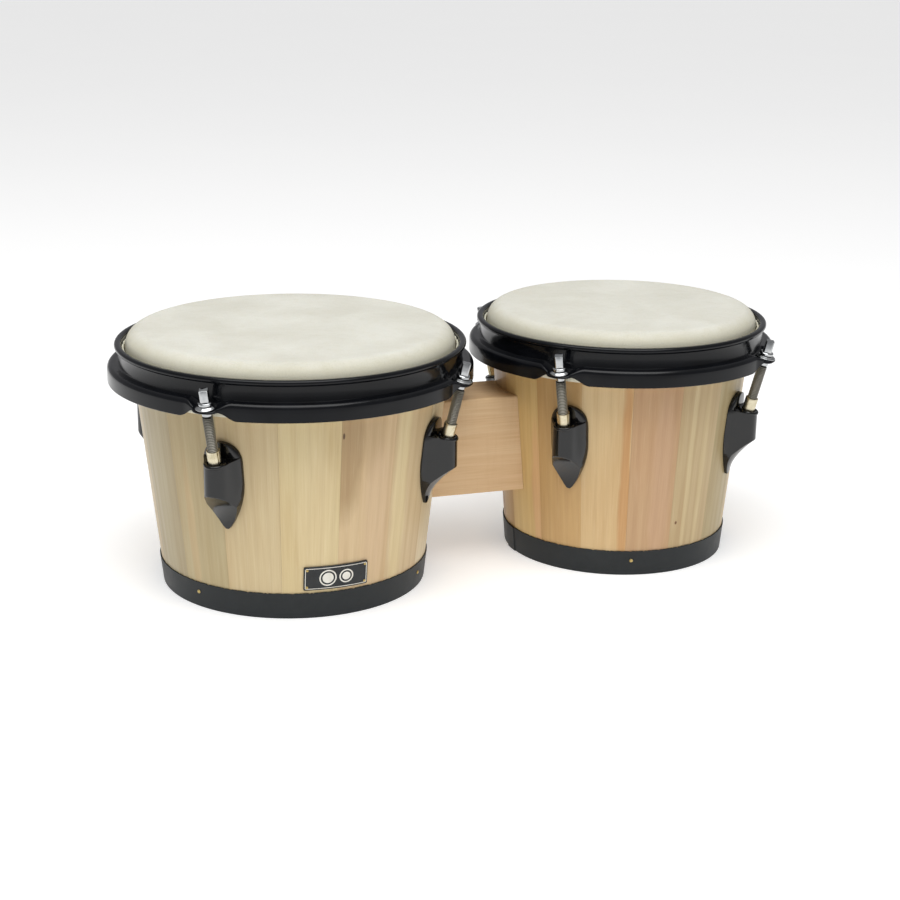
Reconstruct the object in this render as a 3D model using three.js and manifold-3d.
// A pair of bongo drums: two conical wooden shells, the larger hembra and the smaller
// macho, joined by a wooden block. Each drum has a skin wrapped round a wire flesh hoop,
// a pressed steel rim that holds it down, and four tension rods that screw into lugs.
//
// Millimetres and degrees, +Z up, resting on Z = 0, front towards -Y, hembra at -X.
// Angles round a drum are counted from its front, positive towards +X.

import * as THREE from 'three';
import { mergeVertices } from 'three/addons/utils/BufferGeometryUtils.js';
import Module from 'manifold-3d';

const wasm = await Module();
wasm.setup();

// ---------------------------------------------------------------------------
// Driving dimensions
// ---------------------------------------------------------------------------

// The two drums. topRadius is the outside of the shell at the bearing edge.
const hembra = { name: 'hembra', topRadius: 95.25, baseRadius: 78.4, firstLug: -39.1, blockAngle: 90 };
const macho = { name: 'macho', topRadius: 81.4, baseRadius: 68.1, firstLug: -45.2, blockAngle: -90 };
const rimGap = 9;              // free space between the two rims
const lugCount = 4;            // tension rods round each drum

// Clearances
const fitGap = 0.3;            // between pieces that seat on each other
const tailGap = 0.5;           // between the skin's cut edge and the rim's collar
const tuckRoom = 0.35;         // spare room between the skin and its own cut edge
const slotGap = 0.5;           // round a rod in its ear
const washerGap = 0.4;         // round a rod in its washer
const overshoot = 1;           // how far a cutter runs past what it cuts

// Shell
const shellHeight = 151.9;     // floor to the top of the bearing edge
const shellWall = 10;          // measured level, across the staves
const bearingRound = 8;        // radius of the rounded outer bearing edge
const bearingFlat = 1.2;       // narrow level crest of the bearing edge

// Base band
const bandHeight = 15.7;
const bandThickness = 1.2;

// Skin and flesh hoop
const skinThickness = 1;
const hoopWire = 4;            // wire diameter of the flesh hoop
const tailDrop = 8.4;          // the skin's cut edge, below the top of the shell

// Rim, heights counted down from the top of the shell
const lipDrop = 5.9;           // top of the rolled lip
const shelfDrop = 17.9;        // top of the shelf at the foot of the collar
const skirtDrop = 28.1;        // bottom edge of the skirt
const earDrop = 21.5;          // top of each ear, at the rod's axis
const rimWall = 2;
const lipRadius = 1.6;         // half the thickness of the rolled lip
const lipOverhang = 2.1;       // how far the lip stands out from the collar
const skirtRound = 3;          // outer bend between shelf and skirt
const skirtReach = 12.3;       // outside of the skirt, beyond the shell's top radius
const rodReach = 12.1;         // rod axis at the ear, beyond the shell's top radius
const earHalfWidth = 8.5;
const earMargin = 0.7;         // from the washer's edge to the ear's tip
const pocketHalfWidth = 6.9;   // the sunk seat of the washer, inside the ear's side webs
const notchHalfWidth = 16.5;   // where the skirt's edge starts to sweep up to the ear
const rodTravel = 6;           // how far the rim rises when the rods are slackened

// Tension rod, its washer and its nut, lengths counted along the rod from the ear's top face
const rodTilt = 14;            // lean of the rods, inwards going down
const rodRadius = 3;
const rodLength = 50;          // ear to the rod's lower end
const rodFlangeRadius = 4.7;
const rodFlangeHeight = 1.8;
const keySize = 6;             // square head, across flats
const keyHeight = 7.2;
const washerRadius = 6;
const washerThickness = 1.4;
const nutRadius = 4.3;
const nutTop = 26.4;
const nutLength = 21;

// Lug, heights counted down from the top of the shell
const lugTopDrop = 44.9;
const bossTopDrop = 55.4;
const bossFootDrop = 71.5;
const facetDrop = 80.4;
const lugTipDrop = 97.4;
const lugHalfWidth = 10.8;
const bossWall = 1;            // metal outside the nut's bore at the top of the boss
const facetStep = 9;           // how far the facet stands back from the boss's face
const lugTabThickness = 3.4;
const lugTipThickness = 1.6;
const lugTipHalfWidth = 0.8;
const lugRound = 2;            // rounding of the boss and of the tab's upper edge
const lugSink = 1.2;           // how far the casting's blank runs into the shell before it is fitted

// Flange bolts, put in from inside the shells
const lugBolt = { radius: 3, headRadius: 5, headHeight: 4, flangeRadius: 6.5, flangeHeight: 1.2, grip: 6 };
const blockBolt = { radius: 4, headRadius: 6.5, headHeight: 5.5, flangeRadius: 8.5, flangeHeight: 1.6, grip: 16 };
const lugBoltDrop = 79.6;      // below the top of the shell
const blockBoltSpacing = 30;   // between the two bolts of a drum

// Centre block
const blockWidth = 40;         // front to back
const blockHeight = 60;
const blockDrop = 18.8;        // below the rims' skirts

// Badge on the front of the hembra
const badge = { width: 38, height: 14.5, thickness: 1, angle: 3.4, lift: 1.9 };

// Number of flat facets round each ring and each bar
const ringFacets = 32;
const barFacets = 12;
const hoopFacets = 6;
const arcSteps = 3;

// ---------------------------------------------------------------------------
// Finishes
// ---------------------------------------------------------------------------

const finishes = {
  shellWood: { color: 0xd9bf95, roughness: 0.38, metalness: 0 },
  blockWood: { color: 0xd8b27c, roughness: 0.45, metalness: 0 },
  rawhide: { color: 0xe9e4d3, roughness: 0.6, metalness: 0 },
  blackRim: { color: 0x101217, roughness: 0.28, metalness: 0.3 },
  blackLug: { color: 0x0d0e10, roughness: 0.22, metalness: 0.3 },
  blackBand: { color: 0x2b2d30, roughness: 0.5, metalness: 0.3 },
  chrome: { color: 0xc9cbcc, roughness: 0.2, metalness: 1 },
  nickel: { color: 0xbdb7a4, roughness: 0.32, metalness: 1 },
  zincBolt: { color: 0xa9aaa6, roughness: 0.4, metalness: 1 },
  hoopSteel: { color: 0x9b9c9c, roughness: 0.45, metalness: 1 },
  badgePlate: { color: 0x17181b, roughness: 0.35, metalness: 0.4 },
};

// ---------------------------------------------------------------------------
// Solids
// ---------------------------------------------------------------------------

function radians(degrees) {
  return degrees * Math.PI / 180;
}

// The signed volume of a triangle mesh, positive where its faces point outwards.
function signedVolume(positions, triangles) {
  const [a, b, c] = [new THREE.Vector3(), new THREE.Vector3(), new THREE.Vector3()];
  let total = 0;
  for (let i = 0; i < triangles.length; i += 3) {
    a.fromArray(positions, triangles[i] * 3);
    b.fromArray(positions, triangles[i + 1] * 3);
    c.fromArray(positions, triangles[i + 2] * 3);
    total += a.dot(b.cross(c)) / 6;
  }
  return total;
}

// A closed geometry as a solid that can be joined and cut, with its faces turned outwards.
function solidOf(geometry) {
  const plain = geometry.clone();
  plain.deleteAttribute('normal');
  plain.deleteAttribute('uv');
  const merged = mergeVertices(plain, 1e-4);
  const positions = new Float32Array(merged.attributes.position.array);
  const triangles = [];
  for (let i = 0; i < merged.index.count; i += 3) {
    const [a, b, c] = [0, 1, 2].map((corner) => merged.index.getX(i + corner));
    if (a !== b && b !== c && c !== a) triangles.push([a, b, c]);
  }
  if (signedVolume(positions, triangles.flat()) < 0) triangles.forEach((triangle) => triangle.reverse());
  const triVerts = new Uint32Array(triangles.flat());
  return new wasm.Manifold(new wasm.Mesh({ numProp: 3, vertProperties: positions, triVerts }));
}

function geometryOf(solid) {
  const mesh = solid.getMesh();
  const geometry = new THREE.BufferGeometry();
  geometry.setAttribute('position', new THREE.BufferAttribute(new Float32Array(mesh.vertProperties), 3));
  geometry.setIndex(new THREE.BufferAttribute(new Uint32Array(mesh.triVerts), 1));
  geometry.computeVertexNormals();
  return geometry;
}

// A ring or disc turned about Z from points of (radius, height).
function turned(points, facets = ringFacets) {
  return new THREE.LatheGeometry(points, facets).rotateX(Math.PI / 2);
}

// Points along an arc about (x, y), between two angles in degrees.
function arc(x, y, radius, from, to, steps = arcSteps) {
  return Array.from({ length: steps + 1 }, (_, index) => {
    const angle = radians(from + (to - from) * index / steps);
    return new THREE.Vector2(x + radius * Math.cos(angle), y + radius * Math.sin(angle));
  });
}

function point(x, y) {
  return new THREE.Vector2(x, y);
}

// An outline that ends where it starts.
function closed(points) {
  return [...points, points[0].clone()];
}

// A rod of a given radius along Z, between two heights.
function roundBar(radius, low, high, facets = barFacets) {
  return new THREE.CylinderGeometry(radius, radius, high - low, facets)
    .rotateX(Math.PI / 2)
    .translate(0, 0, (low + high) / 2);
}

// An outline in X and Z, given thickness along Y, centred on Y = 0.
function extrudedAcross(shape, thickness) {
  return new THREE.ExtrudeGeometry(shape, { depth: thickness, bevelEnabled: false, curveSegments: arcSteps })
    .translate(0, 0, -thickness / 2)
    .rotateX(Math.PI / 2);
}

// An outline in Y and Z, pushed along X from one place to another.
function extrudedOutwards(shape, from, to) {
  return new THREE.ExtrudeGeometry(shape, { depth: to - from, bevelEnabled: false, curveSegments: arcSteps })
    .rotateX(Math.PI / 2)
    .rotateZ(Math.PI / 2)
    .translate(from, 0, 0);
}

function piece(name, finish, solid) {
  const mesh = new THREE.Mesh(geometryOf(solid), new THREE.MeshStandardMaterial(finishes[finish]));
  mesh.name = name;
  return mesh;
}

// ---------------------------------------------------------------------------
// Places that several pieces share
// ---------------------------------------------------------------------------

const skirtBottom = shellHeight - skirtDrop;
const blockTop = skirtBottom - blockDrop;
const blockMiddle = blockTop - blockHeight / 2;
const hoopClear = hoopWire / 2 + fitGap + skinThickness;   // outside of the skin where it wraps the hoop

// Outside of the shell at a height.
function shellRadius(drum, z) {
  return drum.baseRadius + (drum.topRadius - drum.baseRadius) * z / shellHeight;
}

// Lean of the shell's wall from upright.
function wallAngle(drum) {
  return Math.atan((drum.topRadius - drum.baseRadius) / shellHeight);
}

function lugAngles(drum) {
  return Array.from({ length: lugCount }, (_, index) => drum.firstLug + index * 360 / lugCount);
}

// The frame of a tension rod at its station: Z up along the rod, origin on the ear's top face.
// Stations have +X outwards from the drum's axis.
function rodFrame(drum) {
  return new THREE.Matrix4()
    .makeTranslation(drum.topRadius + rodReach, 0, shellHeight - earDrop)
    .multiply(new THREE.Matrix4().makeRotationY(radians(rodTilt)));
}

// The frame of a bolt square to the wall: X outwards along the bolt, origin on the shell's outside.
function boltFrame(drum, z) {
  return new THREE.Matrix4()
    .makeTranslation(shellRadius(drum, z), 0, z)
    .multiply(new THREE.Matrix4().makeRotationY(wallAngle(drum)));
}

// Turns a station's geometry to its angle round the drum, and a drum's geometry back to a station.
function atStation(geometry, angle) {
  return geometry.rotateZ(radians(angle - 90));
}

function seenFromStation(geometry, angle) {
  return geometry.rotateZ(radians(90 - angle));
}

// All that lies inside the shell's outer surface, grown by the fit's clearance.
function shellSpace(drum) {
  return turned([
    point(0, -overshoot),
    point(shellRadius(drum, -overshoot) + fitGap, -overshoot),
    point(drum.topRadius + fitGap, shellHeight),
    point(0, shellHeight),
  ]);
}

// ---------------------------------------------------------------------------
// Flange bolts
// ---------------------------------------------------------------------------

// Where the flange's face sits: its edges meet the hollow wall first.
function boltSeat(drum, z, bolt) {
  const inside = shellRadius(drum, z) - shellWall;
  const facetDepth = inside * (1 - Math.cos(Math.PI / ringFacets));
  const bow = inside - Math.sqrt(inside ** 2 - bolt.flangeRadius ** 2) + facetDepth;
  return -shellWall * Math.cos(wallAngle(drum)) - bow - fitGap;
}

function boltSolid(drum, z, bolt) {
  const seat = boltSeat(drum, z, bolt);
  const alongX = (geometry) => solidOf(geometry.rotateY(Math.PI / 2));
  const shank = alongX(roundBar(bolt.radius, seat - bolt.flangeHeight / 2, bolt.grip));
  const flange = alongX(roundBar(bolt.flangeRadius, seat - bolt.flangeHeight, seat));
  const head = alongX(roundBar(bolt.headRadius, seat - bolt.headHeight - bolt.flangeHeight,
    seat - bolt.flangeHeight / 2, 6));
  return shank.add(flange).add(head);
}

// The hole that a bolt's shank passes through, in its station.
function boltHole(drum, z, bolt) {
  const inner = -2 * shellWall;
  return roundBar(bolt.radius + fitGap, inner, bolt.grip + fitGap)
    .rotateY(Math.PI / 2)
    .applyMatrix4(boltFrame(drum, z));
}

// Height and kind of each bolt in a drum, with the angle of its station.
const lugBoltHeight = shellHeight - lugBoltDrop;
const blockBoltHeights = [blockMiddle + blockBoltSpacing / 2, blockMiddle - blockBoltSpacing / 2];

function boltsOf(drum) {
  const lugBolts = lugAngles(drum).map((angle, index) => (
    { name: `${drum.name}_lug_bolt_${index + 1}`, angle, z: lugBoltHeight, bolt: lugBolt }
  ));
  const blockBolts = blockBoltHeights.map((z, index) => (
    { name: `${drum.name}_block_bolt_${index + 1}`, angle: drum.blockAngle, z, bolt: blockBolt }
  ));
  return [...lugBolts, ...blockBolts];
}

// ---------------------------------------------------------------------------
// Shell, band, skin and hoop: rings about the drum's axis
// ---------------------------------------------------------------------------

function shellSolid(drum) {
  const crest = drum.topRadius - bearingRound;
  const inside = (z) => shellRadius(drum, z) - shellWall;
  const chamfer = crest - bearingFlat - inside(shellHeight);
  const outline = [
    point(inside(0), 0),
    point(drum.baseRadius, 0),
    point(shellRadius(drum, shellHeight - bearingRound), shellHeight - bearingRound),
    ...arc(crest, shellHeight - bearingRound, bearingRound, 0, 90).slice(1),
    point(crest - bearingFlat, shellHeight),
    point(inside(shellHeight - chamfer), shellHeight - chamfer),
  ];
  let solid = solidOf(turned(closed(outline)));
  for (const { angle, z, bolt } of boltsOf(drum)) {
    solid = solid.subtract(solidOf(atStation(boltHole(drum, z, bolt), angle)));
  }
  return solid;
}

function bandSolid(drum) {
  const inner = (z) => shellRadius(drum, z) + fitGap;
  return solidOf(turned(closed([
    point(inner(0), 0),
    point(inner(0) + bandThickness, 0),
    point(inner(bandHeight) + bandThickness, bandHeight),
    point(inner(bandHeight), bandHeight),
  ])));
}

// Centre of the flesh hoop's wire: the wrapped hoop clears the shell, and the leaning
// undersides of the rim's ears just clear it.
function hoopCentre(drum) {
  const lean = radians(rodTilt);
  const reach = fitGap + hoopClear;
  const earUnderside = shellHeight - earDrop - rimWall / Math.cos(lean) + (rodReach - reach) * Math.tan(lean);
  return point(drum.topRadius + reach, earUnderside - (hoopClear + fitGap) / Math.cos(lean));
}

function hoopSolid(drum) {
  const centre = hoopCentre(drum);
  return solidOf(turned(closed(arc(centre.x, centre.y, hoopWire / 2, 0, 360, hoopFacets).slice(1))));
}

// The collar's inner face stands clear of the skin and of its cut edge, which comes up beside it.
const collarReach = fitGap + 2 * skinThickness + 2 * tailGap + tuckRoom;
const tailTop = shellHeight - tailDrop;

// Middle line of the skin: over the bearing edge, down outside the shell, round the hoop,
// and up inside the collar.
function skinLine(drum) {
  const half = skinThickness / 2;
  const hoop = hoopCentre(drum);
  const wrap = hoopClear - half;
  const tail = drum.topRadius + collarReach - tailGap - half;
  const shoulder = bearingRound + fitGap + half;
  const crest = drum.topRadius - bearingRound;
  const leave = Math.acos((tail - hoop.x) / wrap) * 180 / Math.PI;
  return [
    point(0, shellHeight + fitGap + half),
    ...arc(crest, shellHeight - bearingRound, shoulder, 90, 0),
    ...arc(hoop.x, hoop.y, wrap, 180, 360, 4),
    ...arc(hoop.x, hoop.y, wrap, 0, leave).slice(1),
    point(tail, tailTop),
  ];
}

// Both faces of a sheet of a given thickness that follows a line from the axis outwards.
function thickened(line, thickness) {
  const side = (sign) => line.map((here, index) => {
    const before = line[Math.max(index - 1, 0)];
    const after = line[Math.min(index + 1, line.length - 1)];
    const along = after.clone().sub(before).normalize();
    const into = index > 0 ? here.clone().sub(before).normalize() : along;
    const spread = thickness / 2 / Math.max(along.dot(into), 0.7);
    return point(here.x - sign * along.y * spread, here.y + sign * along.x * spread);
  });
  const [upper, lower] = [side(1), side(-1)];
  upper[0].x = 0;
  lower[0].x = 0;
  return [...upper, ...lower.reverse()];
}

function skinSolid(drum) {
  return solidOf(turned(thickened(skinLine(drum), skinThickness)));
}

// ---------------------------------------------------------------------------
// Rim
// ---------------------------------------------------------------------------

// Section of the pressed rim: rolled lip, upright collar, shelf, rounded bend and skirt.
function rimSection(drum) {
  const top = drum.topRadius;
  const collarInner = top + collarReach;
  const collarOuter = collarInner + rimWall;
  const skirtOuter = top + skirtReach;
  const skirtInner = skirtOuter - rimWall;
  const lipTop = shellHeight - lipDrop;
  const lipMiddle = lipTop - lipRadius;
  const shelf = shellHeight - shelfDrop;
  const foot = hoopCentre(drum).y + hoopClear + fitGap;
  return [
    point(collarInner, foot),
    ...arc(collarInner + lipRadius, lipMiddle, lipRadius, 180, 90, 2),
    ...arc(collarOuter + lipOverhang - lipRadius, lipMiddle, lipRadius, 90, -90),
    point(collarOuter, lipMiddle - 2 * lipRadius),
    point(collarOuter, shelf),
    ...arc(skirtOuter - skirtRound, shelf - skirtRound, skirtRound, 90, 0),
    point(skirtOuter, skirtBottom),
    point(skirtInner, skirtBottom),
    ...arc(skirtOuter - skirtRound, shelf - skirtRound, skirtRound - rimWall, 0, 90, 1),
    point(collarOuter + rimWall / 2, shelf - rimWall),
    point(collarOuter, foot),
  ];
}

// The gap cut in the skirt under an ear: level at the ear, sweeping down to the skirt's edge.
function notchCutter(drum, earUnderside) {
  const below = skirtBottom - overshoot;
  const narrow = earHalfWidth;
  const middle = (narrow + notchHalfWidth) / 2;
  const halfway = (earUnderside + skirtBottom) / 2;
  const bell = new THREE.Shape()
    .moveTo(-notchHalfWidth - overshoot, below)
    .lineTo(notchHalfWidth + overshoot, below)
    .lineTo(notchHalfWidth, skirtBottom)
    .quadraticCurveTo(middle, skirtBottom, middle, halfway)
    .quadraticCurveTo(middle, earUnderside, narrow, earUnderside)
    .lineTo(-narrow, earUnderside)
    .quadraticCurveTo(-middle, earUnderside, -middle, halfway)
    .quadraticCurveTo(-middle, skirtBottom, -notchHalfWidth, skirtBottom);
  return extrudedOutwards(bell, drum.topRadius, drum.topRadius + 2 * skirtReach);
}

// An ear's side view in the rod's frame: a flat plate square to the rod, from the collar to its tip.
function earPlate() {
  const inner = -(rodReach - collarReach - rimWall / 2) / Math.cos(radians(rodTilt));
  const tip = washerRadius + earMargin;
  const outline = new THREE.Shape()
    .moveTo(inner, -earHalfWidth)
    .lineTo(tip - earHalfWidth / 2, -earHalfWidth)
    .quadraticCurveTo(tip, -earHalfWidth, tip, 0)
    .quadraticCurveTo(tip, earHalfWidth, tip - earHalfWidth / 2, earHalfWidth)
    .lineTo(inner, earHalfWidth);
  return new THREE.ExtrudeGeometry(outline, { depth: rimWall, bevelEnabled: false, curveSegments: arcSteps })
    .translate(0, 0, -rimWall);
}

// The rod's hole through the ear, drawn out so that the rim can rise past the leaning rod.
function earSlot() {
  const radius = rodRadius + slotGap;
  const drift = rodTravel * Math.sin(radians(rodTilt));
  const outline = new THREE.Shape()
    .absarc(drift, 0, radius, -Math.PI / 2, Math.PI / 2, false)
    .absarc(0, 0, radius, Math.PI / 2, 3 * Math.PI / 2, false);
  return new THREE.ExtrudeGeometry(outline, { depth: 3 * rimWall, bevelEnabled: false, curveSegments: 4 })
    .translate(0, 0, -2 * rimWall);
}

function rimSolid(drum) {
  const top = drum.topRadius;
  const shelf = shellHeight - shelfDrop;
  const earTop = shellHeight - earDrop;
  const earUnderside = earTop - rimWall / Math.cos(radians(rodTilt));
  const collarMiddle = top + collarReach + rimWall / 2;
  const collarOuter = top + collarReach + rimWall;
  const skirtOuter = top + skirtReach;
  const frame = rodFrame(drum);
  const pocketTop = shellHeight - lipDrop - 2 * lipRadius;

  // Webs that join the sunk seat of each washer to the shelf on both sides.
  const webs = new THREE.Shape()
    .moveTo(collarMiddle, earTop)
    .lineTo(skirtOuter - rimWall / 2, earTop - rimWall / 2)
    .lineTo(skirtOuter - rimWall / 2, shelf - skirtRound)
    .lineTo(skirtOuter - skirtRound, shelf - rimWall / 4)
    .lineTo(collarMiddle, shelf - rimWall / 4);
  const rise = (reach) => earTop + (rodReach - reach) * Math.tan(radians(rodTilt));
  const seat = new THREE.Shape()
    .moveTo(collarOuter + fitGap / 2, rise(collarReach + rimWall))
    .lineTo(skirtOuter + rimWall, rise(skirtReach + rimWall))
    .lineTo(skirtOuter + rimWall, pocketTop)
    .lineTo(collarOuter + fitGap / 2, pocketTop);

  let solid = solidOf(turned(closed(rimSection(drum))));
  for (const angle of lugAngles(drum)) {
    const placed = (geometry) => solidOf(atStation(geometry, angle));
    solid = solid
      .subtract(placed(notchCutter(drum, earUnderside)))
      .add(placed(extrudedAcross(webs, 2 * earHalfWidth)))
      .subtract(placed(extrudedAcross(seat, 2 * pocketHalfWidth)))
      .add(placed(earPlate().applyMatrix4(frame)))
      .subtract(placed(earSlot().applyMatrix4(frame)));
  }
  return solid;
}

// ---------------------------------------------------------------------------
// Tension rod, washer, nut and lug: one set at each station
// ---------------------------------------------------------------------------

const washerBottom = fitGap;
const washerTop = washerBottom + washerThickness;
const flangeBottom = washerTop + fitGap;
const flangeTop = flangeBottom + rodFlangeHeight;
const nutBottom = nutTop + nutLength;

function rodSolid() {
  const key = new THREE.BoxGeometry(keySize, keySize, keyHeight + rodFlangeHeight / 2)
    .translate(0, 0, flangeTop + keyHeight / 2 - rodFlangeHeight / 4);
  return solidOf(roundBar(rodRadius, -rodLength, flangeBottom + rodFlangeHeight / 2))
    .add(solidOf(roundBar(rodFlangeRadius, flangeBottom, flangeTop)))
    .add(solidOf(key));
}

function washerSolid() {
  const hole = rodRadius + washerGap;
  return solidOf(roundBar(washerRadius, washerBottom, washerTop))
    .subtract(solidOf(roundBar(hole, washerBottom - overshoot, washerTop + overshoot)));
}

function nutSolid() {
  return solidOf(roundBar(nutRadius, -nutBottom, -nutTop, barFacets))
    .subtract(solidOf(roundBar(rodRadius + fitGap, -nutBottom - overshoot, -nutTop + overshoot)));
}

// Outer face of the lug's boss: just outside the nut's bore.
function bossFace(drum) {
  const alongRod = (earDrop - bossTopDrop) * Math.tan(radians(rodTilt));
  return drum.topRadius + rodReach + alongRod + nutRadius + fitGap + bossWall;
}

// The lug's side view, in the station's X and Z, running a little into the shell.
function lugProfile(drum) {
  const z = (drop) => shellHeight - drop;
  const proud = (drop, thickness) => shellRadius(drum, z(drop)) + fitGap + thickness;
  const face = bossFace(drum);
  return new THREE.Shape()
    .moveTo(proud(lugTipDrop, -lugSink), z(lugTipDrop))
    .lineTo(proud(lugTipDrop, lugTipThickness), z(lugTipDrop))
    .lineTo(face - facetStep, z(facetDrop))
    .quadraticCurveTo(face, z(bossFootDrop + lugRound), face, z(bossFootDrop - lugRound))
    .lineTo(face, z(bossTopDrop + lugRound))
    .quadraticCurveTo(face, z(bossTopDrop), face - lugRound, z(bossTopDrop))
    .lineTo(proud(bossTopDrop, lugTabThickness), z(bossTopDrop - lugRound / 2))
    .lineTo(proud(lugTopDrop + lugRound, lugTabThickness), z(lugTopDrop + lugRound))
    .lineTo(proud(lugTopDrop, lugTabThickness - lugRound), z(lugTopDrop))
    .lineTo(proud(lugTopDrop, -lugSink), z(lugTopDrop));
}

// The lug's front view: a leaf, round above and drawn to a point below.
function lugFront() {
  const z = (drop) => shellHeight - drop;
  return new THREE.Shape()
    .moveTo(lugTipHalfWidth, z(lugTipDrop))
    .quadraticCurveTo(lugHalfWidth, z(facetDrop), lugHalfWidth, z(bossFootDrop))
    .lineTo(lugHalfWidth, z(bossTopDrop))
    .quadraticCurveTo(lugHalfWidth, z(lugTopDrop), 0, z(lugTopDrop))
    .quadraticCurveTo(-lugHalfWidth, z(lugTopDrop), -lugHalfWidth, z(bossTopDrop))
    .lineTo(-lugHalfWidth, z(bossFootDrop))
    .quadraticCurveTo(-lugHalfWidth, z(facetDrop), -lugTipHalfWidth, z(lugTipDrop));
}

function lugSolid(drum, angle) {
  const frame = rodFrame(drum);
  const bore = roundBar(nutRadius + fitGap, -nutBottom - fitGap, 0).applyMatrix4(frame);
  const tailRoom = roundBar(rodRadius + fitGap, -rodLength - rodRadius, -nutBottom).applyMatrix4(frame);
  return solidOf(extrudedAcross(lugProfile(drum), 3 * lugHalfWidth))
    .intersect(solidOf(extrudedOutwards(lugFront(), drum.baseRadius / 2, 2 * drum.topRadius)))
    .subtract(solidOf(seenFromStation(shellSpace(drum), angle)))
    .subtract(solidOf(bore))
    .subtract(solidOf(tailRoom))
    .subtract(solidOf(boltHole(drum, lugBoltHeight, lugBolt)));
}

// ---------------------------------------------------------------------------
// Badge and centre block
// ---------------------------------------------------------------------------

function badgeSolid(drum) {
  const low = bandHeight + badge.lift;
  const high = low + badge.height;
  const back = (z) => shellRadius(drum, z) + fitGap;
  const ring = turned(closed([
    point(back(low), low),
    point(back(low) + badge.thickness, low),
    point(back(high) + badge.thickness, high),
    point(back(high), high),
  ]));
  const reach = drum.topRadius;
  const window = new THREE.BoxGeometry(reach, badge.width, 2 * badge.height).translate(reach, 0, (low + high) / 2);
  return solidOf(ring).intersect(solidOf(atStation(window, badge.angle)));
}

// Distance from the model's middle to each drum's axis, so that the two rims are centred.
const hembraX = -(macho.topRadius + skirtReach) - rimGap / 2;
const machoX = hembra.topRadius + skirtReach + rimGap / 2;

function blockSolid() {
  const length = machoX - hembraX;
  const bar = new THREE.BoxGeometry(length, blockWidth, blockHeight)
    .translate((hembraX + machoX) / 2, 0, blockMiddle);
  let solid = solidOf(bar);
  for (const [drum, x] of [[hembra, hembraX], [macho, machoX]]) {
    const cutters = blockBoltHeights.map((z) => atStation(boltHole(drum, z, blockBolt), drum.blockAngle));
    for (const cutter of [shellSpace(drum), ...cutters]) {
      solid = solid.subtract(solidOf(cutter.translate(x, 0, 0)));
    }
  }
  return solid;
}

// ---------------------------------------------------------------------------
// Assembly
// ---------------------------------------------------------------------------

function place(object, matrix) {
  object.applyMatrix4(matrix);
  return object;
}

function drumGroup(drum, x) {
  const group = new THREE.Group();
  group.position.x = x;
  group.add(
    piece(`${drum.name}_shell`, 'shellWood', shellSolid(drum)),
    piece(`${drum.name}_base_band`, 'blackBand', bandSolid(drum)),
    piece(`${drum.name}_head`, 'rawhide', skinSolid(drum)),
    piece(`${drum.name}_flesh_hoop`, 'hoopSteel', hoopSolid(drum)),
    piece(`${drum.name}_rim`, 'blackRim', rimSolid(drum)),
  );
  lugAngles(drum).forEach((angle, index) => {
    const station = new THREE.Group();
    station.rotation.z = radians(angle - 90);
    const number = index + 1;
    station.add(
      piece(`${drum.name}_lug_${number}`, 'blackLug', lugSolid(drum, angle)),
      place(piece(`${drum.name}_tension_rod_${number}`, 'chrome', rodSolid()), rodFrame(drum)),
      place(piece(`${drum.name}_rod_washer_${number}`, 'chrome', washerSolid()), rodFrame(drum)),
      place(piece(`${drum.name}_lug_nut_${number}`, 'nickel', nutSolid()), rodFrame(drum)),
    );
    group.add(station);
  });
  for (const { name, angle, z, bolt } of boltsOf(drum)) {
    const station = new THREE.Group();
    station.rotation.z = radians(angle - 90);
    station.add(place(piece(name, 'zincBolt', boltSolid(drum, z, bolt)), boltFrame(drum, z)));
    group.add(station);
  }
  return group;
}

const hembraGroup = drumGroup(hembra, hembraX);
hembraGroup.add(piece('badge', 'badgePlate', badgeSolid(hembra)));

const bongos = new THREE.Group();
bongos.add(hembraGroup, drumGroup(macho, machoX), piece('centre_block', 'blockWood', blockSolid()));

export default bongos;
